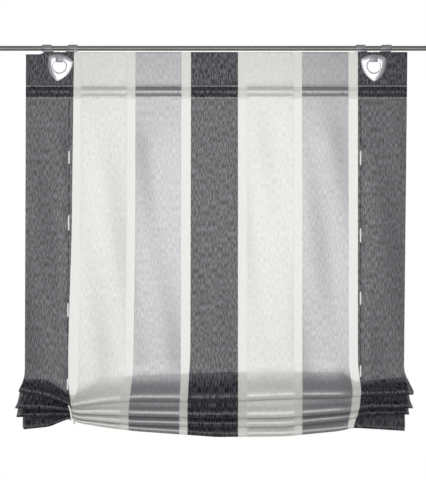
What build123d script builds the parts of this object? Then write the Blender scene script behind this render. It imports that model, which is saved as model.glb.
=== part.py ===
from build123d import *
import math
import os

os.makedirs("parts", exist_ok=True)

# A tie-up blind: one striped cloth hangs by two eyelets from two hangers on a round rail, and
# two laced cords hold its lower part up in pleats. Lengths are in millimetres. +X runs along
# the rail to the right, +Y away from the room and +Z up. The origin is on the rail's axis,
# above the middle of the blind.

# Rail
rail_radius = 6.5
rail_wall = 1.0
rail_overhang = 75.0

# Hangers
saddle_clearance = 0.2
hanger_thickness = 3.0
arm_width = 26.0
arm_gap = 42.0
arm_rear_drop = 8.0
notch_drop = 11.5
notch_taper = 6.5
shoulder_drop = 5.0
shoulder_inset = 4.0
shoulder_height = 6.0
tongue_width = 19.0
tongue_clearance = 0.4
lip_height = 17.0
lip_thickness = 2.7
hook_bend = 2.2

# Cloth
blind_width = 1000.0
cloth_thickness = 1.0
top_edge_drop = 10.5
tunnel_top_drop = 97.7
tunnel_bottom_drop = 124.5
tunnel_depth = 5.4
tunnel_steps = 4
first_fold_drop = 850.0
side_hem_width = 12.0
side_hem_end = 14.0
cloth_reach = 60.0

# Header rod
rod_clearance = 0.2
rod_end_inset = 20.0

# Eyelets
eyelet_inset = 88.0
eyelet_drop = 48.0
eyelet_width = 72.0
eyelet_corner_radius = 12.0
eyelet_turn = 15.0
eyelet_hole_radius = 17.0
collar_wall = 2.0
collar_clearance = 0.3
front_ring_thickness = 3.5
back_ring_thickness = 3.0
swing_gap_behind = 2.8
swing_gap_before = 1.8

# Tie cords
cord_radius = 2.0
cord_clearance = 0.3
slot_width = 6.0
slot_height = 15.0
crossing_rise = 5.0
cord_sides = 6
knot_radius = 3.4
knot_height = 7.0
knot_sides = 10
knot_chamfer = 1.6

# Places that follow from the sizes above
half_width = blind_width / 2
eyelet_x = half_width - eyelet_inset
plate_back_y = -(rail_radius + saddle_clearance)
plate_front_y = plate_back_y - hanger_thickness
header_back_y = plate_front_y - swing_gap_behind - back_ring_thickness
cloth_y = header_back_y - 1.5 * cloth_thickness
header_front_y = cloth_y - cloth_thickness / 2
ring_front_y = header_front_y - front_ring_thickness
lip_back_y = ring_front_y - swing_gap_before
lip_front_y = lip_back_y - lip_thickness
hanger_width = 2 * arm_width + arm_gap
eyelet_z = -eyelet_drop
collar_radius = eyelet_hole_radius + collar_wall
half_tongue = tongue_width / 2
hole_chord_drop = eyelet_hole_radius - math.sqrt(eyelet_hole_radius**2 - half_tongue**2)
tongue_top_z = eyelet_z + eyelet_hole_radius - hole_chord_drop - tongue_clearance
rod_radius = tunnel_depth - cloth_thickness - rod_clearance
tunnel_middle_z = -(tunnel_top_drop + tunnel_bottom_drop) / 2
first_fold_z = -first_fold_drop

# The pleats at stations across the blind. Each row holds the station's distance from its edge
# or from the middle, then how far below the first fold line the four bellies and the three
# hidden crests lie, then the belly radius and the share of the full depth.
left_stations = [
    (-32, (39, 88, 113, 140), (18, 55, 80), 6.0, 0.80),
    (60, (60, 91, 110, 131), (42, 66, 82), 6.0, 0.80),
    (105, (76, 96, 108, 119), (62, 75, 85), 4.5, 0.60),
    (120, (88, 100, 110, 118), (74, 82, 90), 4.0, 0.50),
    (134, (81, 103, 117, 128), (58, 75, 89), 5.0, 0.60),
    (200, (70, 101, 120, 137), (44, 66, 84), 7.0, 0.85),
    (285, (61, 102, 125, 145), (8, 48, 72), 8.0, 1.00),
]
middle_stations = [
    (0, (62, 107, 130, 158), (0, 50, 73), 9.0, 1.00),
]
right_stations = [
    (320, (54, 105, 128, 155), (-2, 45, 70), 9.0, 1.00),
    (170, (53, 94, 114, 143), (24, 48, 68), 8.0, 1.00),
    (130, (53, 90, 109, 136), (35, 56, 74), 6.0, 0.70),
    (105, (53, 84, 103, 132), (20, 38, 56), 6.0, 0.80),
    (-20, (48, 84, 99, 140), (8, 30, 50), 6.0, 0.80),
]

# The side edges below the first fold line, as distance outside the cloth's edge and drop.
left_edge = [(3, 12), (13, 18), (19, 43), (16, 47), (28, 96), (21, 100), (25, 123), (8, 125), (3, 160)]
right_edge = [(-9, 31), (14, 52), (6, 61), (14, 91), (2, 95), (5, 111), (-7, 115), (-7, 160)]
outline_margin = 12.0

# The slots in the pleats: for the left cord above its gather, for the right cord in the hem.
pleat_slots = [(-389.2, -3, -914.5), (366.7, 10.5, -981)]

# Where each cord shows on the front, as the drop of the upper and the lower end.
left_cord_x = (-387, -388, -390, -391)
left_cord_shows = ((271, 302), (440, 476), (670, 704), (869, 898))
right_cord_x = (377, 377, 377, 377)
right_cord_shows = ((271, 306), (474, 508), (640, 672), (832, 862))


def save(node, solid):
    """Write one piece to its own file."""
    export_step(solid, "parts/" + node + ".step")


def mirrored(solid):
    """The same piece on the other side of the blind."""
    return mirror(solid, about=Plane.YZ)


def prism(points, low, high):
    """A solid whose outline is drawn across Y and Z and whose length runs along X."""
    outline = Plane.YZ * make_face(Polyline(*points, close=True))
    return Pos(low, 0, 0) * extrude(outline, amount=high - low)


def plate(points, front, back):
    """A flat solid whose outline is drawn across X and Z, between two places along Y."""
    outline = Plane.XZ * make_face(Polyline(*points, close=True))
    return Pos(0, back, 0) * extrude(outline, amount=back - front)


def rail():
    """A plain round tube."""
    length = blind_width + 2 * rail_overhang
    tube = Cylinder(rail_radius, length) - Cylinder(rail_radius - rail_wall, length)
    return Rot(0, 90, 0) * tube


def saddle_arm(middle_x):
    """One arm: a half ring over the rail with a straight limb behind it and one in front."""
    inner = rail_radius + saddle_clearance
    outer = inner + hanger_thickness
    ring = Circle(outer) - Circle(inner)
    upper = ring & Pos(0, outer / 2) * Rectangle(2 * outer, outer)
    middle = (inner + outer) / 2
    rear = Pos(middle, -arm_rear_drop / 2) * Rectangle(hanger_thickness, arm_rear_drop)
    front = Pos(-middle, -shoulder_drop / 2) * Rectangle(hanger_thickness, shoulder_drop)
    arm = Plane.YZ * (upper + rear + front)
    return Pos(middle_x - arm_width / 2, 0, 0) * extrude(arm, amount=arm_width)


def hanger():
    """Two arms over the rail, a yoke that narrows below them and a hook that carries the eyelet."""
    half = hanger_width / 2
    arm_x = (arm_gap + arm_width) / 2
    half_gap = arm_gap / 2
    half_notch = half_gap - notch_taper
    shoulder_z = -shoulder_drop - shoulder_height
    neck_z = tongue_top_z + hanger_thickness
    right_side = [
        (half_notch, -notch_drop),
        (half_gap, -shoulder_drop + hanger_thickness),
        (half, -shoulder_drop + hanger_thickness),
        (half, -shoulder_drop),
        (half - shoulder_inset, shoulder_z),
        (half_tongue, neck_z),
        (half_tongue, tongue_top_z - hanger_thickness),
    ]
    left_side = [(-x, z) for x, z in right_side[::-1]]
    yoke = plate(right_side + left_side, plate_front_y, plate_back_y)
    tongue_bottom_z = tongue_top_z - hanger_thickness
    lip_top_z = tongue_bottom_z + lip_height
    hook = prism(
        [
            (plate_back_y - hanger_thickness / 2, tongue_bottom_z),
            (lip_front_y, tongue_bottom_z),
            (lip_front_y, lip_top_z),
            (lip_back_y, lip_top_z),
            (lip_back_y, tongue_top_z),
            (plate_back_y - hanger_thickness / 2, tongue_top_z),
        ],
        -half_tongue,
        half_tongue,
    )
    lower_bend = hook.edges().filter_by(Axis.X).sort_by(Axis.Z)[:2].sort_by(Axis.Y)[0]
    hook = fillet(lower_bend, hook_bend)
    arms = saddle_arm(-arm_x) + saddle_arm(arm_x)
    return arms + yoke + hook


def eyelet_outline():
    """A triangle with bulging sides and round corners, one corner down, turned a little."""
    reach = eyelet_width / math.sqrt(3)
    outline = None
    for corner in range(3):
        angle = math.radians(-90 + 120 * corner)
        disc = Pos(reach * math.cos(angle), reach * math.sin(angle)) * Circle(eyelet_width)
        outline = disc if outline is None else outline & disc
    outline = fillet(outline.vertices(), eyelet_corner_radius)
    return Rot(0, 0, -eyelet_turn) * outline


def front_ring():
    """The ring on the room side, with the collar that passes through the cloth."""
    depth = header_back_y - header_front_y + back_ring_thickness
    ring = extrude(eyelet_outline(), amount=front_ring_thickness)
    ring += extrude(Circle(collar_radius), amount=-depth)
    ring -= Cylinder(eyelet_hole_radius, 4 * depth)
    return Pos(-eyelet_x, header_front_y, eyelet_z) * Rot(90, 0, 0) * ring


def back_ring():
    """The flat ring on the window side, which snaps over the collar."""
    hole = Circle(collar_radius + collar_clearance / 2)
    ring = extrude(eyelet_outline() - hole, amount=-back_ring_thickness)
    return Pos(-eyelet_x, header_back_y, eyelet_z) * Rot(90, 0, 0) * ring


def side_of(line, distance):
    """A line's points moved square to it, towards the room for a negative distance."""
    moved = []
    for i, (y, z) in enumerate(line):
        before = line[max(i - 1, 0)]
        after = line[min(i + 1, len(line) - 1)]
        normals = []
        for start, end in ((before, (y, z)), ((y, z), after)):
            length = math.dist(start, end)
            if length > 0:
                normals.append(((start[1] - end[1]) / length, (end[0] - start[0]) / length))
        normal_y = sum(n[0] for n in normals) / len(normals)
        normal_z = sum(n[1] for n in normals) / len(normals)
        square = normal_y**2 + normal_z**2
        moved.append((y + distance * normal_y / square, z + distance * normal_z / square))
    return moved


def belly(front_y, z, radius):
    """The round bottom of a pleat, from its front to its back."""
    turns = [math.radians(180 + 60 * step) for step in range(4)]
    return [(front_y + radius + radius * math.cos(a), z + radius * math.sin(a)) for a in turns]


def crest(front_y, z, radius):
    """The round top of a hidden return, from its front to its back."""
    turns = [math.radians(180 - 90 * step) for step in range(3)]
    return [(front_y + radius + radius * math.cos(a), z - radius + radius * math.sin(a)) for a in turns]


def between(high, low, share):
    """A height between two others."""
    return high + share * (low - high)


def cloth_line(bellies, crests, radius, depth):
    """The cloth's middle line at one station, from the tunnel's lower seam to the hem."""
    b1, b2, b3, b4 = [first_fold_z - drop for drop in bellies]
    c1, c2, c3 = [first_fold_z - drop for drop in crests]
    bend = 3 * depth
    return [
        (0, -tunnel_bottom_drop - cloth_thickness),
        (0, c1 + 14),
        (-6 * depth, between(c1, b1, 0.32)),
        (-16 * depth, between(c1, b1, 0.72)),
        *belly(-24 * depth, b1, radius),
        *crest(2.5 * depth, c1, bend),
        (2 * depth, between(c1, b1, 0.85)),
        (-8 * depth, between(b1 - radius, b2, 0.5)),
        *belly(-16 * depth, b2, radius),
        *crest(9 * depth, c2, bend),
        (9 * depth, between(c2, b2, 0.7)),
        (7 * depth, b2 - 3),
        *belly(-8 * depth, b3, radius),
        *crest(16.5 * depth, c3, bend),
        (15 * depth, between(c3, b3, 0.9)),
        (13 * depth, b3 - 5),
        *belly(0, b4, radius * 0.8),
        (2 * radius * 0.8 + 2 * depth, b4 + side_hem_end),
    ]


def tunnel_side(depth):
    """Points on the arc that one layer of the rod tunnel follows between its two seams."""
    points = []
    for step in range(tunnel_steps + 1):
        share = step / tunnel_steps
        z = between(-tunnel_top_drop, -tunnel_bottom_drop, share)
        points.append((depth * math.sin(math.pi * share), z))
    return points


def cloth_section(x, bellies, crests, radius, depth):
    """The cloth's closed outline at one station, with its double header and rod tunnel."""
    half = cloth_thickness / 2
    bulge = tunnel_side(tunnel_depth - half)
    line = cloth_line(bellies, crests, radius, depth)
    front = [(-half, -top_edge_drop)] + [(-half - y, z) for y, z in bulge] + side_of(line, -half)
    back = [(3 * half, -top_edge_drop)] + [(3 * half + y, z) for y, z in bulge] + side_of(line, half)
    outline = front + back[::-1]
    return Wire.make_polygon([(x, cloth_y + y, z) for y, z in outline], close=True)


def cloth_stations():
    """The station rows with their place along X, from left to right."""
    rows = [(-half_width + row[0], *row[1:]) for row in left_stations]
    rows += middle_stations
    rows += [(half_width - row[0], *row[1:]) for row in right_stations]
    return rows


def cloth_outline():
    """The blind's outline seen from the room, which trims the pleats' side edges."""
    left = [(-half_width - out, first_fold_z - drop) for out, drop in left_edge]
    right = [(half_width + out, first_fold_z - drop) for out, drop in right_edge]
    low = min(left[-1][1], right[-1][1]) - outline_margin
    top = [(half_width, outline_margin), (-half_width, outline_margin)]
    return left + [(left[-1][0], low), (right[-1][0], low)] + right[::-1] + top


def tunnel_space():
    """The room for the rod between the two layers of the header."""
    middle = cloth_y + cloth_thickness / 2
    side = tunnel_side(tunnel_depth - cloth_thickness)
    front = [(middle - y, z) for y, z in side[1:-1]]
    back = [(middle + y, z) for y, z in side[1:-1]]
    reach = half_width + outline_margin
    ends = [(middle, -tunnel_top_drop - cloth_thickness)], [(middle, -tunnel_bottom_drop + cloth_thickness)]
    return prism(ends[0] + front + ends[1] + back[::-1], -reach, reach)


def cloth():
    """One striped cloth, lofted through its stations, trimmed, holed and hemmed."""
    sections = [cloth_section(*row) for row in cloth_stations()]
    panel = Solid.make_loft(sections, ruled=True)
    panel = panel & plate(cloth_outline(), cloth_y - cloth_reach, cloth_y + cloth_reach)
    hem_length = first_fold_drop - side_hem_end - tunnel_bottom_drop
    overlap = cloth_thickness / 4
    hem = Box(side_hem_width, cloth_thickness, hem_length, align=(Align.MIN, Align.MIN, Align.MAX))
    for side in (-half_width + overlap, half_width - side_hem_width - overlap):
        panel = panel + Pos(side, cloth_y + overlap, -tunnel_bottom_drop) * hem
    cuts = [tunnel_space()]
    for x in (-eyelet_x, eyelet_x):
        hole = Cylinder(collar_radius + collar_clearance, 8 * cloth_thickness, rotation=(90, 0, 0))
        cuts.append(Pos(x, cloth_y, eyelet_z) * hole)
    slot = Box(slot_width, 6 * cloth_thickness, slot_height)
    for places, shows in ((left_cord_x, left_cord_shows), (right_cord_x, right_cord_shows)):
        for x, ends in zip(places, shows):
            cuts += [Pos(x, cloth_y, -drop) * slot for drop in ends]
    cuts += [Pos(x, cloth_y + y, z) * slot for x, y, z in pleat_slots]
    return panel - cuts


def header_rod():
    """The round rod in the tunnel, which keeps the header straight."""
    length = blind_width - 2 * rod_end_inset
    rod = Rot(0, 90, 0) * Cylinder(rod_radius, length)
    return Pos(0, cloth_y + cloth_thickness / 2, tunnel_middle_z) * rod


def laced_points(places, shows):
    """A cord's route behind and before the cloth, from the header down to its last crossing."""
    away = cloth_thickness / 2 + cord_radius + cord_clearance
    points = [(places[0], cloth_y + away, -tunnel_bottom_drop - 2 * cord_radius)]
    for x, (upper, lower) in zip(places, shows):
        points.append((x, cloth_y + away, -upper + crossing_rise))
        points.append((x, cloth_y - away, -upper - crossing_rise))
        points.append((x, cloth_y - away, -lower + crossing_rise))
        points.append((x, cloth_y + away, -lower - crossing_rise))
    return points


def cord(points):
    """A round cord whose arcs are as large as the runs beside them allow."""
    radii = []
    for before, here, after in zip(points, points[1:], points[2:]):
        run_in = Vector(*here) - Vector(*before)
        run_out = Vector(*after) - Vector(*here)
        half_turn = math.radians(run_in.get_angle(run_out)) / 2
        radii.append(0.45 * min(run_in.length, run_out.length) / math.tan(half_turn))
    print("cord bends:", [round(radius, 1) for radius in radii])
    path = FilletPolyline(*points, radius=radii)
    start = Plane(origin=path @ 0, z_dir=path % 0)
    section = start * RegularPolygon(cord_radius, cord_sides)
    tube = sweep(section, path=path)
    print("cord length:", round(path.length, 1))
    print("tube volume over section times length:", round(tube.volume / section.area / path.length, 4))
    return tube


def knot(end):
    """The outer form of the small knot at a cord's end."""
    barrel = extrude(RegularPolygon(knot_radius, knot_sides), amount=knot_height / 2, both=True)
    rims = barrel.edges().group_by(Axis.Z)
    return Pos(*end) * chamfer(rims[0] + rims[-1], knot_chamfer)


def wrap_left():
    """The left cord's end: once round the gather, back through the cloth, down and under."""
    return [
        (-393, cloth_y + 14.5, -921),
        (-391, cloth_y + 17.5, -948),
        (-386, cloth_y + 8, -976),
        (-381, cloth_y - 7, -974),
        (-381, cloth_y - 15.5, -956),
        (-387.5, cloth_y - 18, -936),
        (-389.5, cloth_y - 13, -921),
        (-389, cloth_y + 0.5, -910),
        (-384, cloth_y + 13, -912),
        (-378, cloth_y + 18.5, -932),
        (-375, cloth_y + 18, -957),
        (-374.5, cloth_y + 9, -981),
        (-373.5, cloth_y - 1, -987),
        (-372.5, cloth_y - 6.5, -983),
    ]


def end_right():
    """The right cord's end: behind the pleats and into the pocket of the last one."""
    return [
        (374, cloth_y + 14, -880),
        (371, cloth_y + 20, -905),
        (368, cloth_y + 19, -958),
        (367, cloth_y + 16.5, -972),
        (366.5, cloth_y + 11, -981),
        (366, cloth_y + 5.6, -985.7),
    ]


save("rail", rail())
left_hanger = Pos(-eyelet_x, 0, 0) * hanger()
save("hanger_left", left_hanger)
save("hanger_right", mirrored(left_hanger))
save("eyelet_front_left", front_ring())
save("eyelet_front_right", mirrored(front_ring()))
save("eyelet_back_left", back_ring())
save("eyelet_back_right", mirrored(back_ring()))
save("header_rod", header_rod())
save("striped_cloth", cloth())
left_route = laced_points(left_cord_x, left_cord_shows) + wrap_left()
right_route = laced_points(right_cord_x, right_cord_shows) + end_right()
save("tie_cord_left", cord(left_route))
save("tie_cord_right", cord(right_route))
save("cord_knot_left", knot(left_route[-1]))
save("cord_knot_right", knot(right_route[-1]))
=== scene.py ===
import math

import bpy
import numpy as np
from mathutils import Matrix, Vector


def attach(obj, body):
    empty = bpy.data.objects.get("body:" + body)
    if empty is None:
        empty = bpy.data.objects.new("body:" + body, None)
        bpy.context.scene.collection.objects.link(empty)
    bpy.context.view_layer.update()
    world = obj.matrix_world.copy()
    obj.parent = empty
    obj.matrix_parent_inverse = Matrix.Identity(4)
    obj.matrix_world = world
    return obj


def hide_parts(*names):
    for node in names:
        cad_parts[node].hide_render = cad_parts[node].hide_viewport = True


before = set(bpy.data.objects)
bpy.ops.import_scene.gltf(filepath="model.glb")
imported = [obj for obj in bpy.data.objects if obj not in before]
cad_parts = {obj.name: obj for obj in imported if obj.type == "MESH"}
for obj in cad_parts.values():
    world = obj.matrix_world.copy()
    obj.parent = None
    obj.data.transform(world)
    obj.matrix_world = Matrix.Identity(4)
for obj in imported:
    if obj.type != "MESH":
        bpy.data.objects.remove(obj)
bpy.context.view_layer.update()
bpy.ops.object.select_all(action="DESELECT")

# Camera
# It stands eight metres in front of the blind, level with its middle. Its long lens takes in the
# blind's whole height and part of the rail on each side.
camera = bpy.data.objects.new("camera", bpy.data.cameras.new("camera"))
camera.location = (-0.0097, -8.017, -0.5035)
camera.rotation_euler = (math.radians(90), 0, 0)
camera.data.lens = 228.9
camera.data.clip_end = 20
bpy.context.scene.collection.objects.link(camera)
bpy.context.scene.camera = camera

# Tie cords
# Two soft white cords braided from cotton yarn, 4 mm thick. Each is laced down through slots in the
# cloth, so that it shows in front as four short lengths, and ends in a knot under the gathered pleats.
cloth_y = -0.017
header_seam_z = -0.1285
cord_radius = 0.002
cord_away = 0.0028
crossing_rise = 0.005
knot_cord_radius = 0.0013


def colour(code):
    """An sRGB hex colour as linear light, with full opacity."""
    parts = [int(code[i:i + 2], 16) / 255 for i in (1, 3, 5)]
    return tuple(c / 12.92 if c <= 0.04045 else ((c + 0.055) / 1.055) ** 2.4 for c in parts) + (1,)


def add(tree, kind, inputs=None, **settings):
    """Adds a node with its settings. Each input is a value to set or a socket to link."""
    node = tree.nodes.new(kind)
    for name, value in settings.items():
        setattr(node, name, value)
    for name, value in (inputs or {}).items():
        if isinstance(value, bpy.types.NodeSocket):
            tree.links.new(value, node.inputs[name])
        else:
            node.inputs[name].default_value = value
    return node


def new_material(name):
    """An empty node material and its tree."""
    material = bpy.data.materials.new(name)
    material.use_nodes = True
    material.node_tree.nodes.clear()
    return material, material.node_tree


# Cotton cord, bleached and braided: a dull soft white, with the braid's slanting ribs in relief,
# and painted shade darkening the grooves between them.
bleached_cotton, tree = new_material("bleached cotton braid")
coordinates = add(tree, "ShaderNodeTexCoord")
ribs_and_groove_shade = add(
    tree, "ShaderNodeTexWave",
    {"Vector": coordinates.outputs["Object"], "Scale": 260, "Distortion": 3, "Detail": 1},
    bands_direction="DIAGONAL",
)
# The colour is darker in the ribs' grooves: painted shade.
tint = add(
    tree, "ShaderNodeMix", {0: ribs_and_groove_shade.outputs["Fac"], 6: colour("#dcdcd6"), 7: colour("#f4f4f0")},
    data_type="RGBA",
)
relief = add(tree, "ShaderNodeBump", {"Height": ribs_and_groove_shade.outputs["Fac"], "Strength": 0.5, "Distance": 0.0005})
yarn = add(
    tree, "ShaderNodeBsdfPrincipled",
    {
        "Base Color": tint.outputs[2], "Normal": relief.outputs["Normal"],
        "Roughness": 0.85, "Specular IOR Level": 0.25,
    },
)
add(tree, "ShaderNodeOutputMaterial", {"Surface": yarn.outputs["BSDF"]})


def laced_route(stations, shows):
    """A cord's points behind and before the cloth, from the header down to its last crossing."""
    behind = cloth_y + cord_away
    before = cloth_y - cord_away
    points = [(stations[0], behind, header_seam_z)]
    for x, (upper, lower) in zip(stations, shows):
        points.append((x, behind, -upper + crossing_rise))
        points.append((x, before, -upper - crossing_rise))
        points.append((x, before, -lower + crossing_rise))
        points.append((x, behind, -lower - crossing_rise))
    return points


def cotton_cord(name, points, radius):
    """A round cord on one smooth spline that has the given points as its control points."""
    curve = bpy.data.curves.new(name, "CURVE")
    curve.dimensions = "3D"
    spline = curve.splines.new("NURBS")
    spline.points.add(len(points) - 1)
    for point, place in zip(spline.points, points):
        point.co = (*place, 1)
    spline.order_u = 3
    spline.use_endpoint_u = True
    spline.resolution_u = 6
    curve.bevel_depth = radius
    curve.bevel_resolution = 3
    curve.use_fill_caps = True
    piece = bpy.data.objects.new(name, curve)
    bpy.context.scene.collection.objects.link(piece)
    piece.data.materials.append(bleached_cotton)
    return piece


# How far below the rail each short length in front begins and ends.
left_shows = ((0.271, 0.302), (0.440, 0.476), (0.670, 0.704), (0.869, 0.898))
right_shows = ((0.271, 0.306), (0.474, 0.508), (0.640, 0.672), (0.832, 0.862))

# The left cord goes once round the gathered pleats and ends under them. The right one ends in them.
left_route = laced_route((-0.387, -0.388, -0.390, -0.391), left_shows) + [
    (-0.3930, cloth_y + 0.0145, -0.921),
    (-0.3910, cloth_y + 0.0175, -0.948),
    (-0.3860, cloth_y + 0.0080, -0.976),
    (-0.3810, cloth_y - 0.0070, -0.974),
    (-0.3810, cloth_y - 0.0155, -0.956),
    (-0.3875, cloth_y - 0.0180, -0.936),
    (-0.3895, cloth_y - 0.0130, -0.921),
    (-0.3890, cloth_y + 0.0005, -0.910),
    (-0.3840, cloth_y + 0.0130, -0.912),
    (-0.3780, cloth_y + 0.0185, -0.932),
    (-0.3750, cloth_y + 0.0180, -0.957),
    (-0.3745, cloth_y + 0.0090, -0.981),
    (-0.3735, cloth_y - 0.0010, -0.987),
    (-0.3725, cloth_y - 0.0065, -0.983),
]
right_route = laced_route((0.377, 0.377, 0.377, 0.377), right_shows) + [
    (0.3740, cloth_y + 0.0140, -0.880),
    (0.3710, cloth_y + 0.0200, -0.905),
    (0.3680, cloth_y + 0.0190, -0.958),
    (0.3670, cloth_y + 0.0165, -0.972),
    (0.3665, cloth_y + 0.0110, -0.981),
    (0.3660, cloth_y + 0.0056, -0.9857),
]
left_cord = cotton_cord("tie_cord_left_braid", left_route, cord_radius)
right_cord = cotton_cord("tie_cord_right_braid", right_route, cord_radius)

# A pulled-tight overhand knot, in millimetres from the cord's end: the cord goes once round itself
# and its end comes out below.
knot_turns = [
    (0.0, 0.0, 3.6), (0.9, -0.2, 2.2), (2.3, 0.4, 0.9), (1.5, 2.3, -0.3), (-0.9, 2.2, -1.1),
    (-2.4, 0.4, -0.9), (-1.5, -2.0, 0.0), (0.8, -2.4, 1.0), (2.5, -0.8, 1.3), (1.4, 0.9, 0.2),
    (-0.6, 0.6, -1.5), (-0.3, -0.2, -3.2), (0.3, -0.5, -4.8),
]
for side, piece, route, length in (
    ("left", left_cord, left_route, 1.0478),
    ("right", right_cord, right_route, 0.8745),
):
    knot_points = [[at + turn / 1000 for at, turn in zip(route[-1], turns)] for turns in knot_turns]
    knot = cotton_cord("cord_knot_" + side + "_tied", knot_points, knot_cord_radius)
    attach(piece, "blind")
    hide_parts("tie_cord_" + side)
    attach(knot, "blind")
    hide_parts("cord_knot_" + side)

# Striped cloth
# One width of woven polyester with dark, sheer, cream and silver stripes along its length. The top
# is folded back 120 mm and stitched down into a rod tunnel, the sides are hemmed, and two cords draw
# the lower part up into four soft pleats. Sizes here are in millimetres, and y is from the cloth's middle.
header_gap = 1
header_top = -10.5
tunnel_top = -100.6
tunnel_bottom = -127.6
tunnel_bulge = 4.9
header_hem = -133.5
first_fold = -850.0
gather_level = -930
half_width = 500.0
side_hem = 12.0
edge_thread = 2.8
column_pitch = 5.2
eyelet_cutout = 20
eyelet_centres = ((-412.0, -48.0), (412.0, -48.0))

# Each line along the weave, as its place in the flat cloth and its places down the hung cloth.
weave_lines = [
    (-500.0, ((0, -500), (-850, -503))),
    (-375.0, (
        (0, -374), (-490, -380), (-673, -386), (-804, -389.6), (-880, -389), (-945, -380), (-1015, -380),
    )),
    (-355.5, ((0, -355.5), (-490, -357.5), (-804, -361), (-877, -363.4), (-932, -374.5), (-1015, -373))),
    (-235.0, ((0, -235), (-500, -236), (-843, -240), (-914, -253), (-1020, -253))),
    (-212.7, ((0, -212.7), (-500, -214), (-843, -219), (-906, -226), (-950, -231), (-1020, -231))),
    (-92.2, ((0, -92.2), (-850, -94), (-960, -98.3), (-1020, -98.3))),
    (-67.3, ((0, -67.3), (-800, -69), (-930, -76.5), (-1020, -76.5))),
    (55.8, ((0, 55.8), (-1020, 55.8))),
    (79.4, ((0, 79.4), (-1020, 79.4))),
    (202.5, ((0, 202.5), (-1020, 203.5))),
    (223.5, ((0, 223.5), (-1020, 224.5))),
    (345.3, ((0, 345.3), (-830, 346.6), (-900, 356.6), (-948, 352), (-987, 344), (-1010, 343))),
    (370.2, ((0, 370.2), (-830, 370), (-895, 378.9), (-948, 374), (-987, 361), (-1000, 356))),
    (500.0, ((0, 500), (-850, 491))),
]
stripes = [
    "anthracite", "voile", "cream", "voile", "silver", "voile", "anthracite",
    "voile", "cream", "voile", "silver", "voile", "anthracite",
]

# Where the folds lie across the blind: a place along it, how far below the first fold line the four
# bellies and the three hidden crests are, the bellies' radius and the share of the full depth.
gathers = [
    (-532, (40, 88, 113, 149), (18, 55, 80), 6.0, 0.80),
    (-440, (61, 92, 111, 139), (18, 55, 78), 6.0, 0.80),
    (-395, (77, 97, 109, 121), (50, 70, 83), 4.5, 0.92),
    (-380, (88, 100, 110, 118), (66, 80, 90), 4.0, 0.95),
    (-366, (83, 104, 118, 129), (52, 72, 88), 5.0, 0.85),
    (-300, (74, 105, 124, 139), (13, 54, 78), 7.0, 0.85),
    (-215, (67, 108, 131, 149), (8, 52, 76), 8.0, 1.00),
    (0, (69, 113, 137, 164), (0, 55, 79), 9.0, 1.00),
    (180, (61, 111, 135, 162), (-2, 50, 75), 9.0, 1.00),
    (330, (59, 100, 120, 149), (0, 40, 63), 8.0, 1.00),
    (370, (57, 96, 115, 142), (27, 54, 75), 6.0, 0.70),
    (395, (57, 89, 108, 143), (22, 42, 60), 6.0, 0.80),
    (520, (52, 89, 105, 152), (10, 34, 54), 6.0, 0.80),
]

# How far the cloth's side edges stand outside its own width, at each point of the four pleats: they
# fan out at the bellies and draw in at the crests.
left_fan = [
    6, 10, 13, 15, 15, 13, 11, 8,
    2, 1, 1, 3, 12, 16, 19, 22, 24, 25, 24, 20, 14,
    5, 4, 4, 8, 14, 18, 20, 21, 22, 21, 17, 12,
    3, 2, 2, 3, 5, 6, 6, 5, 3, 2, 1, 1, 1, 1,
]
right_fan = [
    14, 21, 24, 24, 24, 22, 16, 10,
    2, 1, 1, 3, 12, 15, 18, 21, 22, 23, 22, 18, 12,
    4, 3, 3, 6, 10, 12, 12, 13, 14, 13, 11, 8,
    2, 1, 1, 2, 2, 3, 3, 2, 2, 2, 1, 1, 1, 1,
]


def softened(values, spread):
    """The values along a line with their corners rounded over a distance of so many steps."""
    reach = int(4 * spread)
    weights = np.exp(-0.5 * (np.arange(-reach, reach + 1) / spread) ** 2)
    padded = np.pad(values, reach, mode="edge")
    return np.convolve(padded, weights / weights.sum(), mode="valid")


def belly(front_y, z, radius):
    """The round bottom of a pleat, from its front to its back."""
    turns = [math.radians(180 + 45 * step) for step in range(5)]
    return [(front_y + radius + radius * math.cos(a), z + radius * math.sin(a)) for a in turns]


def crest(front_y, z, radius):
    """The round top of a hidden return, from its front to its back."""
    turns = [math.radians(180 - 60 * step) for step in range(4)]
    return [(front_y + radius + radius * math.cos(a), z - radius + radius * math.sin(a)) for a in turns]


def between(high, low, share):
    """A height between two others."""
    return high + share * (low - high)


def header_line():
    """The header seen from the side: up behind from its hem, over the top edge and down in front."""
    bulge = []
    for step in range(8):
        share = step / 7
        bulge.append((tunnel_bulge * math.sin(math.pi * share), between(tunnel_top, tunnel_bottom, share)))
    levels = (-80, -60, -40, -22, -11.2)
    line = [(header_gap, header_hem)] + [(header_gap + y, z) for y, z in bulge[::-1]]
    line += [(header_gap, z) for z in levels] + [(header_gap / 2, header_top)]
    line += [(0, z) for z in levels[::-1]] + [(-y, z) for y, z in bulge]
    return line


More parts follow.
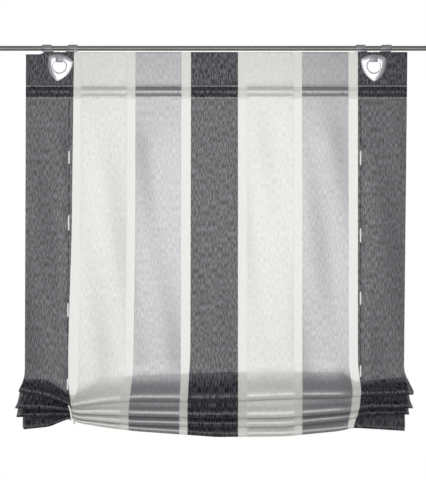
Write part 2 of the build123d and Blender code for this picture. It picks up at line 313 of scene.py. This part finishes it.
def warp_line(bellies, crests, radius, depth):
    """One lengthwise thread seen from the side: up behind the header, over its top edge, down the
    panel and through the four pleats to the hem. With each point goes how far the cloth's left and
    right edges stand outside its own width there."""
    b1, b2, b3, b4 = [first_fold - drop for drop in bellies]
    c1, c2, c3 = [first_fold - drop for drop in crests]
    bend = 3 * depth
    hem_back = 1.6 * radius + 2 * depth
    hem_rise = max(14, 4 + 0.75 * (b3 - b4))
    upper = header_line()
    upper += [(0, between(tunnel_bottom - 9, c1 + 14, step / 24)) for step in range(25)]
    first = [
        (-7 * depth, between(c1, b1, 0.35)),
        (-20.5 * depth, b1 + 1.9 * radius),
        (-23.7 * depth, b1 + 0.8 * radius),
        *belly(-24 * depth, b1 + 0.1 * radius, 1.1 * radius),
    ]
    second = [
        *crest(2.5 * depth, c1, bend),
        (2 * depth, between(c1, b1, 0.85)),
        (-6 * depth, between(b1 - radius, b2, 0.4)),
        (-14 * depth, b2 + 1.35 * radius),
        (-15.8 * depth, b2 + 0.6 * radius),
        *belly(-16 * depth, b2, radius),
    ]
    third = [
        *crest(9 * depth, c2, bend),
        (9 * depth, between(c2, b2, 0.7)),
        (7 * depth, b2 - 3),
        (-7.4 * depth, b3 + 0.85 * radius),
        *belly(-8 * depth, b3, radius),
    ]
    fourth = [
        *crest(16.5 * depth, c3, bend),
        (15 * depth, between(c3, b3, 0.9)),
        (13 * depth, b3 - 5),
        (0.4, b4 + 0.85 * radius),
        *belly(0, b4, radius * 0.8),
        (hem_back, b4 + 9),
        (hem_back, b4 + hem_rise),
    ]
    points = np.array(upper + first + second + third + fourth)
    unfanned = [0] * len(upper)
    return np.column_stack([points, unfanned + left_fan, unfanned + right_fan])


def flowing(points, steps):
    """Points along the smooth line that has the given points as its control points."""
    line = [points[0]]
    for i in range(1, len(points) - 1):
        start = (points[i - 1] + points[i]) / 2 if i > 1 else points[0]
        end = (points[i] + points[i + 1]) / 2 if i < len(points) - 2 else points[-1]
        for step in range(1, steps + 1):
            t = step / steps
            line.append((1 - t) ** 2 * start + 2 * t * (1 - t) * points[i] + t**2 * end)
    return np.array(line)


# The flat cloth is ruled into columns that follow the stripes, their edge threads and the side hems.
across = []
finishes = []
for i, finish in enumerate(stripes):
    left = weave_lines[i][0]
    right = weave_lines[i + 1][0]
    inner = [left, right]
    if finish == "cream":
        inner = [left, left + edge_thread, right - edge_thread, right]
    if i == 0:
        inner = [left, left + side_hem, right]
    if i == len(stripes) - 1:
        inner = [left, right - side_hem, right]
    for start, end in zip(inner, inner[1:]):
        count = max(1, round((end - start) / column_pitch))
        threads = finish == "cream" and end - start < 4
        for step in range(count):
            across.append(start + (end - start) * step / count)
            finishes.append("thread" if threads else finish)
across.append(half_width)
across = np.array(across)

# The weave's lines down the hung cloth at each millimetre of height, with soft corners.
heights = np.arange(-1060.0, 1.0)
hung_lines = []
for flat, keys in weave_lines:
    at = np.array(sorted(keys))
    hung_lines.append(softened(np.interp(heights, at[:, 0], at[:, 1]), 12))
flat_lines = np.array([flat for flat, keys in weave_lines])

# The gathers' values at each millimetre across the blind, with soft corners.
places_along = np.arange(-545.0, 546.0)
gather_places = [row[0] for row in gathers]
gather_values = [(*bellies, *crests, radius, depth) for place, bellies, crests, radius, depth in gathers]
shaped = []
for values in zip(*gather_values):
    shaped.append(softened(np.interp(places_along, gather_places, values), 7))


def hung_place(flat, z):
    """Where a point of the flat cloth comes to lie along the rail at a height of the hung cloth."""
    i = min(np.searchsorted(flat_lines, flat, side="right") - 1, len(flat_lines) - 2)
    share = (flat - flat_lines[i]) / (flat_lines[i + 1] - flat_lines[i])
    left = np.interp(z, heights, hung_lines[i])
    right = np.interp(z, heights, hung_lines[i + 1])
    return left + share * (right - left)


def panel_wave(x, levels):
    """The panel's slow shallow waves, which die out at the header, in the pleats and at the cords."""
    wave = 1.6 * np.sin(x / 71 + levels / 390 + 0.6) + 1.1 * np.sin(x / 33 - levels / 210 + 2.0)
    wave += 0.5 * np.sin(x / 15 + levels / 95)
    free_share = np.clip((levels - tunnel_bottom) / -120, 0, 1) * np.clip((levels + 1050) / 240, 0, 1)
    near_cord = np.exp(-((x + 388) / 14) ** 2) + np.exp(-((x - 377) / 14) ** 2)
    return wave * free_share * (1 - np.clip(near_cord, 0, 1))


def pucker(x, levels):
    """How far the cloth is drawn forward over a cord just above and below each of its slots."""
    drawn = np.zeros(len(levels))
    for cord_x, shows in ((-389, left_shows), (377, right_shows)):
        near = np.exp(-((x - cord_x) / 8) ** 2)
        for upper, lower in shows:
            beyond = np.maximum(levels + 1000 * upper, -levels - 1000 * lower)
            over = np.clip((beyond + 4) / 6, 0, 1) * np.clip((36 - beyond) / 20, 0, 1)
            drawn = np.maximum(drawn, over * near)
    return 2.2 * drawn


def corner_droop(x, levels):
    """How far the header's left corner hangs down beside its eyelet."""
    corner = np.clip((-445 - x) / 22, 0, 1)
    return 6 * corner**2 * (3 - 2 * corner) * np.clip((levels + 100) / 90, 0, 1)


# Each column is one lengthwise thread. The cords draw the cloth in, and its free edges fan out.
rows_to_a_point = 4
free_from = 430
free_width = 70
panel_rows = rows_to_a_point * 57
columns = []
for flat in across:
    low = hung_place(flat, gather_level)
    drops = [np.interp(low, places_along, values) for values in shaped]
    line = flowing(warp_line(drops[0:4], drops[4:7], drops[7], drops[8]), rows_to_a_point)
    depths, levels, left_reach, right_reach = line.T
    x = np.array([hung_place(flat, z) for z in levels])
    x = x - left_reach * np.clip((-free_from - flat) / free_width, 0, 1) ** 1.4
    x = x + right_reach * np.clip((flat - free_from) / free_width, 0, 1) ** 1.4
    in_panel = np.arange(len(levels)) < panel_rows
    depths = depths + (panel_wave(x, levels) - pucker(x, levels)) * in_panel
    levels = levels - corner_droop(x, levels)
    columns.append(np.column_stack([x, depths, levels]))

grid = np.array(columns)
column_count, row_count = grid.shape[:2]
steps_down = np.linalg.norm(np.diff(grid[:, :, 1:], axis=1), axis=2).mean(axis=0)
down = np.concatenate([[0], np.cumsum(steps_down)])
cloth_points = grid.reshape(-1, 3) / 1000
cloth_points[:, 1] += cloth_y

faces = []
face_finishes = []
face_corners = []
for i in range(column_count - 1):
    for j in range(row_count - 1):
        middle = (grid[i, j] + grid[i + 1, j + 1]) / 2
        if any(math.hypot(middle[0] - x, middle[2] - z) < eyelet_cutout for x, z in eyelet_centres):
            continue
        corners = ((i, j), (i, j + 1), (i + 1, j + 1), (i + 1, j))
        faces.append([column * row_count + row for column, row in corners])
        face_finishes.append(finishes[i])
        face_corners.extend(corners)

cloth_mesh = bpy.data.meshes.new("striped_cloth_woven")
cloth_mesh.from_pydata([tuple(p) for p in cloth_points], [], faces)
flat_map = cloth_mesh.uv_layers.new(name="flat cloth")
corner_places = [(across[i] / 1000, down[j] / 1000) for i, j in face_corners]
flat_map.data.foreach_set("uv", np.array(corner_places, np.float32).ravel())
cloth = bpy.data.objects.new("striped_cloth_woven", cloth_mesh)
bpy.context.scene.collection.objects.link(cloth)
cloth_mesh.shade_smooth()


def woven(name, dark, light, see_through, glow, roughness, streak, figure, specular):
    """A woven stripe: its yarns' two colours, the share of light that passes between the yarns, the
    share that glows through them, and how strong the lengthwise streaks and the woven figure are.
    Single yarns are too fine to show, so the streaks are drawn 3 mm wide and 14 mm long."""
    material, tree = new_material(name)
    flat = add(tree, "ShaderNodeUVMap", uv_map="flat cloth")
    along = add(
        tree, "ShaderNodeMapping", {"Vector": flat.outputs["UV"], "Scale": (1 / 0.0030, 1 / 0.014, 1)},
    )
    streaks = add(
        tree, "ShaderNodeTexNoise",
        {"Vector": along.outputs["Vector"], "Scale": 1, "Detail": 3, "Roughness": 0.5},
    )
    waved = add(
        tree, "ShaderNodeMapping", {"Vector": flat.outputs["UV"], "Scale": (1 / 0.018, 1 / 0.010, 1)},
    )
    figures = add(
        tree, "ShaderNodeTexWave",
        {"Vector": waved.outputs["Vector"], "Scale": 1, "Distortion": 5, "Detail": 2, "Detail Scale": 1.5},
        bands_direction="Y",
    )
    streak_share = add(
        tree, "ShaderNodeMapRange",
        {
            "Value": streaks.outputs["Fac"], "From Min": 0.3, "From Max": 0.7,
            "To Min": 0.5 - streak, "To Max": 0.5 + streak,
        },
    )
    figure_share = add(
        tree, "ShaderNodeMath", {0: figures.outputs["Fac"], 1: figure, 2: streak_share.outputs["Result"]},
        operation="MULTIPLY_ADD", use_clamp=True,
    )
    tint = add(
        tree, "ShaderNodeMix", {0: figure_share.outputs[0], 6: colour(dark), 7: colour(light)},
        data_type="RGBA",
    )
    relief = add(
        tree, "ShaderNodeBump", {"Height": figure_share.outputs[0], "Strength": 0.25, "Distance": 0.0004},
    )
    shine = add(
        tree, "ShaderNodeMapRange",
        {"Value": figure_share.outputs[0], "To Min": specular * 0.5, "To Max": specular * 1.5},
    )
    face = add(
        tree, "ShaderNodeBsdfPrincipled",
        {
            "Base Color": tint.outputs[2], "Normal": relief.outputs["Normal"], "Roughness": roughness,
            "Specular IOR Level": shine.outputs["Result"], "IOR": 1.6, "Sheen Weight": 0.1,
        },
    )
    through = add(tree, "ShaderNodeBsdfTranslucent", {"Color": tint.outputs[2]})
    solid = add(
        tree, "ShaderNodeMixShader", {0: glow, 1: face.outputs["BSDF"], 2: through.outputs["BSDF"]},
    )
    holes = add(tree, "ShaderNodeBsdfTransparent")
    whole = add(
        tree, "ShaderNodeMixShader",
        {0: see_through, 1: solid.outputs["Shader"], 2: holes.outputs["BSDF"]},
    )
    add(tree, "ShaderNodeOutputMaterial", {"Surface": whole.outputs["Shader"]})
    return material


# Anthracite satin with a few lighter yarns: a nearly closed dark cloth with fine lengthwise streaks.
# Cream and silver satin with a wavy woven figure: pale and smooth, so that the folds shine in thin lines.
# Voile: an open plain weave of fine white yarn, which lets most of the light behind it through.
# White edge thread: a few thick white yarns that bind each satin stripe to the voile beside it.
weaves = {
    "anthracite": woven(
        "anthracite melange satin", "#08090c", "#34363e", see_through=0.065, glow=0.02,
        roughness=0.4, streak=1.2, figure=0.06, specular=0.2,
    ),
    "cream": woven(
        "cream figured satin", "#aeada7", "#c3c3bf", see_through=0.02, glow=0.12,
        roughness=0.4, streak=0.35, figure=0.35, specular=0.62,
    ),
    "silver": woven(
        "silver grey figured satin", "#5e5e61", "#727276", see_through=0.10, glow=0.05,
        roughness=0.39, streak=0.35, figure=0.35, specular=0.8,
    ),
    "voile": woven(
        "white voile", "#d4d4d0", "#dededa", see_through=0.3, glow=0.28,
        roughness=0.6, streak=0.3, figure=0.1, specular=0.25,
    ),
    "thread": woven(
        "white edge yarns", "#bcbcb8", "#cacac6", see_through=0.02, glow=0.14,
        roughness=0.42, streak=0.2, figure=0.1, specular=0.5,
    ),
}
for material in weaves.values():
    cloth_mesh.materials.append(material)
finish_names = list(weaves)
cloth_mesh.polygons.foreach_set("material_index", [finish_names.index(finish) for finish in face_finishes])
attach(cloth, "blind")
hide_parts("striped_cloth")

# Seams
# Polyester sewing thread in stitches of 3.6 mm. Two white rows run across and hold the rod tunnel,
# and a grey row runs down each side hem. Sizes here are in millimetres too.
thread_radius = 0.45
stitch_length = 3.6
stitch_gap = 0.9
stitch_turn = 0.5
stitch_rise = 0.5
stitch_sink = 0.1
front_rows = range(int(np.argmax(down > -header_hem - header_top)), row_count)


def thread_of(name):
    """A sewing thread with no stitches yet, and its object."""
    thread = bpy.data.curves.new(name, "CURVE")
    thread.dimensions = "3D"
    thread.bevel_depth = thread_radius / 1000
    thread.bevel_resolution = 1
    thread.use_fill_caps = True
    piece = bpy.data.objects.new(name, thread)
    bpy.context.scene.collection.objects.link(piece)
    return piece


def stitch_row(curve, line):
    """Short raised stitches along a line of points on the cloth's face."""
    steps = np.concatenate([[0], np.cumsum(np.linalg.norm(np.diff(line, axis=0), axis=1))])
    count = int(steps[-1] // (stitch_length + stitch_gap))
    for i in range(count):
        start = i * (stitch_length + stitch_gap)
        end = start + stitch_length
        spots = [start, start + stitch_turn, end - stitch_turn, end]
        rises = [stitch_sink, -stitch_rise, -stitch_rise, stitch_sink]
        spline = curve.splines.new("POLY")
        spline.points.add(3)
        for point, spot, rise in zip(spline.points, spots, rises):
            x, y, z = [np.interp(spot, steps, line[:, axis]) for axis in range(3)]
            point.co = (x / 1000, cloth_y + (y + rise) / 1000, z / 1000, 1)


def across_at(level):
    """The line across the cloth's face at one height of the panel."""
    line = []
    for column in grid:
        rows = [j for j in front_rows if column[j, 2] > first_fold + 40]
        x, y = [np.interp(-level, -column[rows, 2], column[rows, axis]) for axis in (0, 1)]
        line.append((x, y, level))
    return np.array(line)


header_stitches = thread_of("header_stitches")
hem_stitches = thread_of("side_hem_stitches")
stitch_row(header_stitches.data, across_at(tunnel_top + 0.6))
stitch_row(header_stitches.data, across_at(header_hem + 2.2))
for flat in (side_hem - half_width, half_width - side_hem):
    column = int(np.argmin(abs(across - flat)))
    rows = [j for j in front_rows if first_fold + 20 < grid[column, j, 2] < header_hem]
    stitch_row(hem_stitches.data, grid[column, rows])

# Spun polyester sewing thread: two twisted plies with a slight gloss, white in the header and grey in
# the hems. The plies show as fine slanting bands, their darker stripes painted shade between the plies.
for piece, name, low, high in (
    (header_stitches, "white", "#dadad6", "#f0f0ec"),
    (hem_stitches, "grey", "#4a4c54", "#60626a"),
):
    polyester_thread, tree = new_material(name + " spun polyester thread")
    coordinates = add(tree, "ShaderNodeTexCoord")
    ply_bands_painted_shade = add(
        tree, "ShaderNodeTexWave", {"Vector": coordinates.outputs["Object"], "Scale": 900, "Distortion": 1},
        bands_direction="DIAGONAL",
    )
    # The darker bands are painted shade in the grooves between the plies.
    tint = add(
        tree, "ShaderNodeMix", {0: ply_bands_painted_shade.outputs["Fac"], 6: colour(low), 7: colour(high)}, data_type="RGBA",
    )
    twisted = add(tree, "ShaderNodeBsdfPrincipled", {"Base Color": tint.outputs[2], "Roughness": 0.5})
    add(tree, "ShaderNodeOutputMaterial", {"Surface": twisted.outputs["BSDF"]})
    piece.data.materials.append(polyester_thread)
    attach(piece, "blind")

# Eyelets
# Two moulded rings that snap together through the header, plated a satin silver. The room side ring
# is a rounded triangle with one corner down, domed round its round hole, and carries the collar.
eyelet_x = 0.412
eyelet_z = -0.048
ring_corner_reach = 0.0516
ring_bulge = 0.63
ring_squeeze = 0.95
ring_hole = 0.017
crest_width = 0.0030
crest_rise = 0.0035
outer_slope = [(0.0004, 1.0), (0.0003, 0.985), (0.0007, 0.93), (0.0007, 0.92), (0.0006, 0.915)]
outer_slope_rise = 0.0027
throat_depth = 0.0024
collar_outer = 0.019
collar_past = 0.003
snap_play = 0.0001
header_front = cloth_y - 0.0005
header_back = cloth_y + 0.0015


def grow(steps):
    """Extrudes the selected rim in steps, each a rise and a change of size."""
    for rise, size in steps:
        bpy.ops.mesh.extrude_edges_move(TRANSFORM_OT_translate={"value": (0, 0, rise)})
        bpy.ops.transform.resize(value=(size, size, 1), center_override=(0, 0, 0))


def join_rims(piece, rims):
    """Bridges two rims, each given by its height and the least and greatest distance from the middle."""
    bpy.ops.mesh.select_mode(type="EDGE")
    bpy.ops.mesh.select_all(action="DESELECT")
    bpy.ops.object.mode_set(mode="OBJECT")
    for edge in piece.data.edges:
        ends = [piece.data.vertices[i].co for i in edge.vertices]
        for level, low, high in rims:
            if all(abs(end.z - level) < 1e-5 and low < math.hypot(end.x, end.y) < high for end in ends):
                edge.select = True
    bpy.ops.object.mode_set(mode="EDIT")
    bpy.ops.mesh.bridge_edge_loops(number_cuts=2, interpolation="LINEAR")


def eyelet_ring(name, hole, collar, turn):
    """One ring, made lying flat with its dome upwards: a rounded triangle, a round hole, and a collar."""
    bpy.ops.mesh.primitive_circle_add(vertices=3, radius=ring_corner_reach)
    ring = bpy.context.object
    bpy.ops.object.mode_set(mode="EDIT")
    bpy.ops.mesh.subdivide(number_cuts=31)
    bpy.ops.object.mode_set(mode="OBJECT")
    reaches = [vertex.co.length for vertex in ring.data.vertices]
    middle = sum(reaches) / len(reaches)
    for vertex, reach in zip(ring.data.vertices, reaches):
        vertex.co = -vertex.co * (reach + ring_bulge * (middle - reach)) / reach
    turned = Matrix.Rotation(math.radians(turn), 4, "Z")
    ring.data.transform(Matrix.Diagonal((ring_squeeze, 1, 1, 1)) @ turned)
    bpy.ops.object.mode_set(mode="EDIT")
    bpy.ops.mesh.select_all(action="SELECT")
    bpy.ops.mesh.vertices_smooth(factor=0.5, repeat=16)
    grow(outer_slope)
    bpy.ops.mesh.select_all(action="DESELECT")
    bpy.ops.mesh.primitive_circle_add(vertices=96, radius=hole + crest_width, location=(0, 0, crest_rise))
    throat = hole + snap_play
    grow([(-0.0002, 0.97), (-0.0004, 0.94), (-0.0005, throat / (hole + crest_width) / 0.97 / 0.94)])
    if collar:
        grow([(-throat_depth - collar, 1.0), (0.0, collar_outer / throat), (collar, 1.0)])
    else:
        grow([(-throat_depth, 1.0)])
    join_rims(ring, [(outer_slope_rise, 0.015, 0.04), (crest_rise, hole + 0.0028, hole + 0.0032)])
    join_rims(ring, [(0.0, 0.026, 0.06), (0.0, hole - 0.001, collar_outer + 0.0005)])
    bpy.ops.mesh.select_all(action="SELECT")
    bpy.ops.mesh.remove_doubles(threshold=0.00001)
    bpy.ops.mesh.normals_make_consistent(inside=False)
    bpy.ops.object.mode_set(mode="OBJECT")
    bpy.ops.object.shade_smooth_by_angle(angle=math.radians(42))
    ring.name = name
    return ring


def set_ring(ring, x, y, facing):
    """Stands a ring up at its place in the header, its dome to the front (1) or to the back (-1)."""
    stand = Matrix.Rotation(math.radians(90 * facing), 4, "X")
    ring.data.transform(Matrix.Translation((x, y, eyelet_z)) @ stand)


# Satin nickel over moulded plastic: the slopes that face the light are near white, the others mid grey.
satin_plating, tree = new_material("satin nickel plating on plastic")
coordinates = add(tree, "ShaderNodeTexCoord")
grit = add(tree, "ShaderNodeTexNoise", {"Vector": coordinates.outputs["Object"], "Scale": 900, "Detail": 2})
relief = add(tree, "ShaderNodeBump", {"Height": grit.outputs["Fac"], "Strength": 0.12, "Distance": 0.0002})
plating = add(
    tree, "ShaderNodeBsdfPrincipled",
    {"Base Color": colour("#b8b9bd"), "Metallic": 1.0, "Roughness": 0.44, "Normal": relief.outputs["Normal"]},
)
add(tree, "ShaderNodeOutputMaterial", {"Surface": plating.outputs["BSDF"]})

for side, x, turn in (("left", -eyelet_x, -12), ("right", eyelet_x, 3)):
    front = eyelet_ring("eyelet_ring_front_" + side, ring_hole, header_back - header_front + collar_past, turn)
    set_ring(front, x, header_front, 1)
    back = eyelet_ring("eyelet_ring_back_" + side, collar_outer + snap_play, 0, -turn)
    set_ring(back, x, header_back, -1)
    for ring, face in ((front, "front"), (back, "back")):
        ring.data.materials.clear()
        ring.data.materials.append(satin_plating)
        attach(ring, "blind")
        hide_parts("eyelet_" + face + "_" + side)

# Hangers
# Each is one grey moulding with two arms that snap over the rail, a yoke below them, and a flat hook
# that passes through the eyelet and turns up in front of it. All its edges are eased by the mould.
arm_width = 0.026
arm_inset = 0.021
yoke_front = -0.0097
yoke_thickness = 0.003
hook_width = 0.019


def moulding(outline, depth_axis, start, depth, ease):
    """A plate with eased edges: a ring of points closed to a face, drawn out square to itself."""
    bpy.ops.object.select_all(action="DESELECT")
    bpy.ops.mesh.primitive_circle_add(vertices=len(outline), radius=0.01, fill_type="NGON")
    piece = bpy.context.object
    for vertex, (along, up) in zip(piece.data.vertices, outline):
        vertex.co = (along, start, up) if depth_axis == 1 else (start, along, up)
    bpy.ops.object.mode_set(mode="EDIT")
    bpy.ops.mesh.select_all(action="SELECT")
    drawn = (0, depth, 0) if depth_axis == 1 else (depth, 0, 0)
    bpy.ops.mesh.extrude_region_move(TRANSFORM_OT_translate={"value": drawn})
    bpy.ops.mesh.select_all(action="SELECT")
    bpy.ops.mesh.normals_make_consistent(inside=False)
    bpy.ops.object.mode_set(mode="OBJECT")
    edges = piece.modifiers.new("eased edges", "BEVEL")
    edges.width = ease
    edges.segments = 3
    edges.limit_method = "ANGLE"
    edges.angle_limit = math.radians(30)
    bpy.ops.object.modifier_apply(modifier=edges.name)
    bpy.ops.object.shade_smooth_by_angle(angle=math.radians(35))
    return piece


def round_line(middle, radius, start, end, steps):
    """Points along an arc, its angles in degrees."""
    angles = [math.radians(start + (end - start) * step / steps) for step in range(steps + 1)]
    return [(middle[0] + radius * math.cos(a), middle[1] + radius * math.sin(a)) for a in angles]


# Each arm is a saddle that goes over the rail and down behind and in front of it.
saddle = round_line((0, 0), 0.0097, 0, 180, 24) + [(-0.0097, -0.005), (-0.0067, -0.005)]
saddle += round_line((0, 0), 0.0067, 180, 0, 24) + [(0.0067, -0.008), (0.0097, -0.008)]

# The yoke joins the arms and narrows to the hook. Its two sides are alike.
yoke_side = [(0.0145, -0.0115), (0.017, -0.0085), (0.0195, -0.0035), (0.021, -0.002), (0.047, -0.002)]
yoke_side += [(0.047, -0.005), (0.046, -0.0082), (0.043, -0.011), (0.026, -0.0215), (0.0105, -0.0305)]
yoke_side += [(0.0095, -0.033), (0.0095, -0.0373)]
yoke = yoke_side + [(-x, z) for x, z in yoke_side[::-1]]

# The hook runs forward through the eyelet, and its lip turns up before the ring.
hook = [(-0.0082, -0.0373)]
hook += [(y - 0.0233, z - 0.0351) for y, z in round_line((0, 0), 0.0022, -90, -180, 6)]
hook += [(-0.0255, -0.0217)] + round_line((-0.02415, -0.0217), 0.00135, 180, 0, 8)[1:]
hook += [(-0.0228, -0.0336)] + round_line((-0.0221, -0.0336), 0.0007, 180, 270, 3)[1:]
hook += [(-0.0082, -0.0343)]

# The left hanger is made, and the right one is its copy.
hanger_parts = [
    moulding(saddle, 0, -eyelet_x - 0.047, arm_width, 0.0006),
    moulding(saddle, 0, -eyelet_x + arm_inset, arm_width, 0.0006),
    moulding([(x - eyelet_x, z) for x, z in yoke], 1, yoke_front, yoke_thickness, 0.0007),
    moulding(hook, 0, -eyelet_x - 0.0095, hook_width, 0.0006),
]
for part in hanger_parts:
    part.select_set(True)
left_hanger = hanger_parts[0]
bpy.context.view_layer.objects.active = left_hanger
bpy.ops.object.join()
left_hanger.name = "hanger_left_moulded"

# Moulded acetal: a plain grey plastic with a soft gloss and the mould's very fine grain.
grey_acetal, tree = new_material("grey moulded acetal")
coordinates = add(tree, "ShaderNodeTexCoord")
grain = add(tree, "ShaderNodeTexNoise", {"Vector": coordinates.outputs["Object"], "Scale": 700, "Detail": 3})
relief = add(tree, "ShaderNodeBump", {"Height": grain.outputs["Fac"], "Strength": 0.15, "Distance": 0.0002})
moulded = add(
    tree, "ShaderNodeBsdfPrincipled",
    {"Base Color": colour("#7a7c80"), "Roughness": 0.32, "IOR": 1.48, "Normal": relief.outputs["Normal"]},
)
add(tree, "ShaderNodeOutputMaterial", {"Surface": moulded.outputs["BSDF"]})

left_hanger.data.materials.append(grey_acetal)
right_hanger = left_hanger.copy()
right_hanger.data = left_hanger.data.copy()
right_hanger.data.transform(Matrix.Translation((2 * eyelet_x, 0, 0)))
right_hanger.name = "hanger_right_moulded"
bpy.context.scene.collection.objects.link(right_hanger)
for side, piece in (("left", left_hanger), ("right", right_hanger)):
    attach(piece, side + "_hanger")
    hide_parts("hanger_" + side)

# Rail
# A drawn aluminium tube, 13 mm outside, anodised a plain satin grey. It runs on beyond the blind on
# both sides, and the hangers slide on it.
# The fine lines of drawing run along it, so its shine breaks up a little from line to line. They are
# drawn 1.4 mm apart, which is coarser than the real ones, so that they show.
anodised, tree = new_material("satin anodised aluminium")
coordinates = add(tree, "ShaderNodeTexCoord")
drawn_out = add(tree, "ShaderNodeMapping", {"Vector": coordinates.outputs["Object"], "Scale": (9, 700, 700)})
draw_lines = add(tree, "ShaderNodeTexNoise", {"Vector": drawn_out.outputs["Vector"], "Scale": 1, "Detail": 3})
tint = add(
    tree, "ShaderNodeMix", {0: draw_lines.outputs["Fac"], 6: colour("#6c6c68"), 7: colour("#848480")},
    data_type="RGBA",
)
relief = add(tree, "ShaderNodeBump", {"Height": draw_lines.outputs["Fac"], "Strength": 0.1, "Distance": 0.0001})
metal = add(
    tree, "ShaderNodeBsdfPrincipled",
    {"Base Color": tint.outputs[2], "Metallic": 1.0, "Roughness": 0.55, "Normal": relief.outputs["Normal"]},
)
add(tree, "ShaderNodeOutputMaterial", {"Surface": metal.outputs["BSDF"]})
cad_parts["rail"].data.materials.clear()
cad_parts["rail"].data.materials.append(anodised)

# Header rod
# An extruded white plastic rod that lies loose in the tunnel and keeps the header straight.
# It is smooth and slightly glossy, with faint lines from the die along its length.
white_styrene, tree = new_material("extruded white polystyrene")
coordinates = add(tree, "ShaderNodeTexCoord")
drawn_out = add(tree, "ShaderNodeMapping", {"Vector": coordinates.outputs["Object"], "Scale": (4, 500, 500)})
die_lines = add(tree, "ShaderNodeTexNoise", {"Vector": drawn_out.outputs["Vector"], "Scale": 1, "Detail": 2})
tint = add(
    tree, "ShaderNodeMix", {0: die_lines.outputs["Fac"], 6: colour("#dededa"), 7: colour("#eaeae6")},
    data_type="RGBA",
)
relief = add(tree, "ShaderNodeBump", {"Height": die_lines.outputs["Fac"], "Strength": 0.08, "Distance": 0.0001})
extruded = add(
    tree, "ShaderNodeBsdfPrincipled",
    {"Base Color": tint.outputs[2], "Roughness": 0.4, "Normal": relief.outputs["Normal"]},
)
add(tree, "ShaderNodeOutputMaterial", {"Surface": extruded.outputs["BSDF"]})
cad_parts["header_rod"].data.materials.clear()
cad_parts["header_rod"].data.materials.append(white_styrene)

# Floor and light
# A plain pale floor well below the blind and a white surround. A large soft lamp in front gives the
# satin its shine, two small ones light the eyelets, and one behind gives the light through the cloth.
bpy.ops.mesh.primitive_plane_add(size=8, location=(0, 0, -1.35))
floor = bpy.context.object
floor.name = "floor"
painted_floor, tree = new_material("matt white painted floor")
paint = add(tree, "ShaderNodeBsdfPrincipled", {"Base Color": colour("#e6e6e4"), "Roughness": 0.9})
white = add(tree, "ShaderNodeEmission", {"Color": (1, 1, 1, 1), "Strength": 1})
path = add(tree, "ShaderNodeLightPath")
mixed = add(
    tree, "ShaderNodeMixShader",
    {0: path.outputs["Is Camera Ray"], 1: paint.outputs["BSDF"], 2: white.outputs["Emission"]},
)
add(tree, "ShaderNodeOutputMaterial", {"Surface": mixed.outputs["Shader"]})
floor.data.materials.append(painted_floor)

# The surround is plain white to the camera, through the cloth, and behind the blind in a shine. As a
# light it is dimmer.
world = bpy.data.worlds.new("white surround")
world.use_nodes = True
world.node_tree.nodes.clear()
bpy.context.scene.world = world
tree = world.node_tree
path = add(tree, "ShaderNodeLightPath")
heading = add(tree, "ShaderNodeTexCoord")
heading_axes = add(tree, "ShaderNodeSeparateXYZ", {"Vector": heading.outputs["Generated"]})
beyond = add(tree, "ShaderNodeMath", {0: heading_axes.outputs["Y"], 1: 0.0}, operation="GREATER_THAN")
shiny = add(
    tree, "ShaderNodeMath", {0: path.outputs["Is Glossy Ray"], 1: beyond.outputs[0]}, operation="MULTIPLY",
)
seen = add(
    tree, "ShaderNodeMath", {0: path.outputs["Is Camera Ray"], 1: shiny.outputs[0]}, operation="MAXIMUM",
)
seen = add(
    tree, "ShaderNodeMath", {0: seen.outputs[0], 1: path.outputs["Is Transmission Ray"]}, operation="MAXIMUM",
)
strength = add(tree, "ShaderNodeMapRange", {"Value": seen.outputs[0], "To Min": 0.3, "To Max": 1.0})
sky = add(tree, "ShaderNodeBackground", {"Color": (1, 1, 1, 1), "Strength": strength.outputs["Result"]})
add(tree, "ShaderNodeOutputWorld", {"Surface": sky.outputs["Background"]})


def soft_lamp(name, place, target, size, power):
    """A square soft lamp that faces a point, with its size in metres and its power in watts."""
    lamp = bpy.data.lights.new(name, "AREA")
    lamp.size = size
    lamp.energy = power
    holder = bpy.data.objects.new(name, lamp)
    holder.location = place
    holder.rotation_euler = (Vector(target) - Vector(place)).to_track_quat("-Z", "Y").to_euler()
    bpy.context.scene.collection.objects.link(holder)
    holder.visible_camera = False
    holder.visible_transmission = False


soft_lamp("front lamp", (0.05, -3.4, -0.55), (0, 0, -0.55), 1.1, 62)
soft_lamp("near lamp", (0.0, -1.2, -0.15), (0, 0, -0.2), 0.3, 1.0)
soft_lamp("left lamp", (-0.62, -3.4, 0.4), (-0.4, 0, -0.2), 0.3, 14)
soft_lamp("daylight behind", (0.8, 2.2, 0.0), (0, 0, -0.5), 2.0, 26)

bpy.context.scene.view_settings.view_transform = "Standard"
